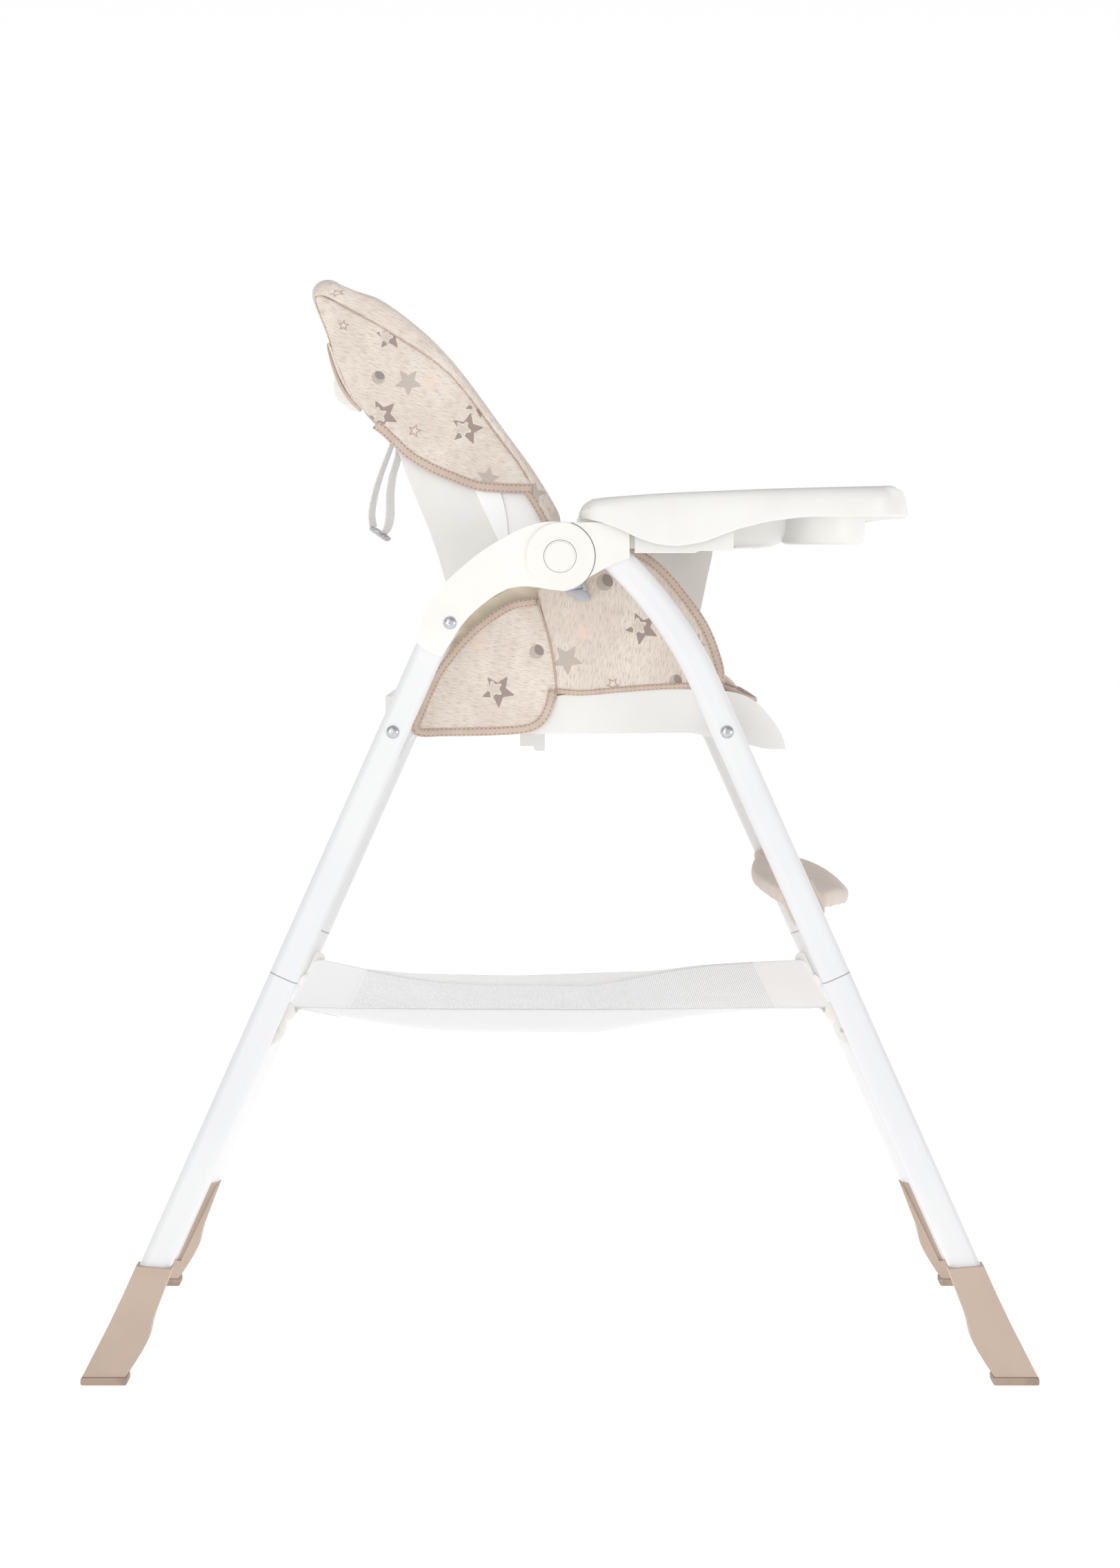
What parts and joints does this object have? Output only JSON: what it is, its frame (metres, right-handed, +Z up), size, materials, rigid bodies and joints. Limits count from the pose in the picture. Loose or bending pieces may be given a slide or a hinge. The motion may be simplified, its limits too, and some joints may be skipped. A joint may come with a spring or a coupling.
{
  "type": "high chair",
  "caption": "Folding baby high chair: A-frame legs on moulded feet, padded bucket seat with reclining hooded back, sliding tray with crotch post, footrest and sling basket.",
  "frame": {"origin": "on the floor, under the hub axis and midway between the feet", "axes": "+X forward towards the tray, +Y to the seated child's left, +Z up"},
  "size_m": [0.894, 0.552, 1.0462],
  "materials": {
    "white_tube": "semi-gloss white powder coat",
    "white_plastic": "satin moulded white",
    "cream_plastic": "slightly translucent cream",
    "taupe_plastic": "matte taupe",
    "sole_rubber": "matte",
    "chrome_metal": "polished",
    "steel_metal": "satin",
    "printed_fabric": "oatmeal melange with printed stars",
    "basket_cloth": "white mesh",
    "grey_webbing": "woven light grey",
    "grey_plastic": "satin light grey"
  },
  "bodies": {
    "front_frame": {"front_leg_upper_left": "white_tube", "front_leg_upper_right": "white_tube", "front_leg_lower_left": "white_tube", "front_leg_lower_right": "white_tube", "front_foot_left": "taupe_plastic", "front_foot_right": "taupe_plastic", "front_soles": "sole_rubber", "front_arm_left": "white_plastic", "front_arm_right": "white_plastic", "hub_axles": "steel_metal", "front_cross_tube": "white_tube", "front_rivets": "chrome_metal", "basket_clips_front": "cream_plastic", "basket_screws_front": "steel_metal", "basket_rod_front": "steel_metal", "basket_fabric": "basket_cloth"},
    "rear_frame": {"rear_leg_upper_left": "white_tube", "rear_leg_upper_right": "white_tube", "rear_leg_lower_left": "white_tube", "rear_leg_lower_right": "white_tube", "rear_foot_left": "taupe_plastic", "rear_foot_right": "taupe_plastic", "rear_soles": "sole_rubber", "rear_arm_left": "white_plastic", "rear_arm_right": "white_plastic", "rear_cross_tube": "white_tube", "rear_rivets": "chrome_metal", "basket_clips_rear": "cream_plastic", "basket_screws_rear": "steel_metal", "basket_rod_rear": "steel_metal"},
    "seat": {"seat_pan": "white_plastic", "recline_pins": "steel_metal", "seat_side_left": "white_plastic", "seat_side_right": "white_plastic", "side_cover_left": "printed_fabric", "side_cover_right": "printed_fabric", "seat_cushion": "printed_fabric", "lap_straps": "grey_webbing", "buckle": "white_plastic", "side_adjusters": "grey_plastic"},
    "backrest": {"backrest_shell": "white_plastic", "backrest_cover": "printed_fabric", "shoulder_straps": "grey_webbing", "shoulder_pads": "printed_fabric", "strap_loop": "grey_webbing", "strap_adjuster": "grey_plastic"},
    "recline_handle": {"recline_handle": "white_plastic"},
    "tray": {"tray": "white_plastic", "tray_sleeves": "white_plastic", "crotch_post": "cream_plastic"},
    "tray_insert": {"tray_insert": "white_plastic"},
    "tray_lever": {"tray_release_lever": "white_plastic"},
    "footrest": {"footrest": "taupe_plastic"},
    "buckle_button": {"buckle_button": "grey_plastic"},
    "fold_button_left": {"fold_button_left": "white_plastic"},
    "fold_button_right": {"fold_button_right": "white_plastic"},
    "front_lock_button_left": {"front_lock_button_left": "steel_metal"},
    "front_lock_button_right": {"front_lock_button_right": "steel_metal"},
    "rear_lock_button_left": {"rear_lock_button_left": "steel_metal"},
    "rear_lock_button_right": {"rear_lock_button_right": "steel_metal"}
  },
  "joints": [
    {"name": "fold", "type": "hinge", "parent": "front_frame", "child": "rear_frame", "pos_m": [0, 0, 0.773], "axis": [0, -1, 0], "range_deg": [0, 32], "deforming": ["basket_fabric"]},
    {"name": "seat_pivot", "type": "hinge", "parent": "front_frame", "child": "seat", "pos_m": [0.156, 0, 0.609], "axis": [0, -1, 0], "range_deg": [0, 16]},
    {"name": "recline", "type": "hinge", "parent": "seat", "child": "backrest", "pos_m": [-0.065, 0, 0.655], "axis": [0, -1, 0], "range_deg": [0, 20]},
    {"name": "recline_grip", "type": "slide", "parent": "backrest", "child": "recline_handle", "axis": [-0.4226, 0, 0.9063], "range_m": [0, 0.008], "stiffness_N_per_m": 900, "springref_m": -0.004},
    {"name": "tray_slide", "type": "slide", "parent": "front_frame", "child": "tray", "axis": [1, 0, 0], "range_m": [0, 0.06]},
    {"name": "tray_insert_lift", "type": "slide", "parent": "tray", "child": "tray_insert", "axis": [0, 0, 1], "range_m": [0, 0.12]},
    {"name": "tray_lever_pull", "type": "slide", "parent": "tray", "child": "tray_lever", "axis": [1, 0, 0], "range_m": [0, 0.006], "stiffness_N_per_m": 600, "springref_m": -0.002},
    {"name": "footrest_height", "type": "slide", "parent": "front_frame", "child": "footrest", "axis": [-0.4067, 0, 0.9135], "range_m": [0, 0.05]},
    {"name": "buckle_press", "type": "slide", "parent": "seat", "child": "buckle_button", "axis": [0, 0, -1], "range_m": [0, 0.002], "stiffness_N_per_m": 500, "springref_m": -0.001},
    {"name": "fold_press_left", "type": "slide", "parent": "rear_frame", "child": "fold_button_left", "axis": [0, -1, 0], "range_m": [0, 0.005], "stiffness_N_per_m": 500, "springref_m": -0.002},
    {"name": "front_lock_press_left", "type": "slide", "parent": "front_frame", "child": "front_lock_button_left", "axis": [0, 1, 0], "range_m": [0, 0.0035], "stiffness_N_per_m": 400, "springref_m": -0.002},
    {"name": "rear_lock_press_left", "type": "slide", "parent": "rear_frame", "child": "rear_lock_button_left", "axis": [0, 1, 0], "range_m": [0, 0.0035], "stiffness_N_per_m": 400, "springref_m": -0.002},
    {"name": "fold_press_right", "type": "slide", "parent": "rear_frame", "child": "fold_button_right", "axis": [0, 1, 0], "range_m": [0, 0.005], "stiffness_N_per_m": 500, "springref_m": -0.002},
    {"name": "front_lock_press_right", "type": "slide", "parent": "front_frame", "child": "front_lock_button_right", "axis": [0, -1, 0], "range_m": [0, 0.0035], "stiffness_N_per_m": 400, "springref_m": -0.002},
    {"name": "rear_lock_press_right", "type": "slide", "parent": "rear_frame", "child": "rear_lock_button_right", "axis": [0, -1, 0], "range_m": [0, 0.0035], "stiffness_N_per_m": 400, "springref_m": -0.002}
  ],
  "couplings": [
    {"joint": "seat_pivot", "follows": "fold", "ratio": 0.5}
  ]
}
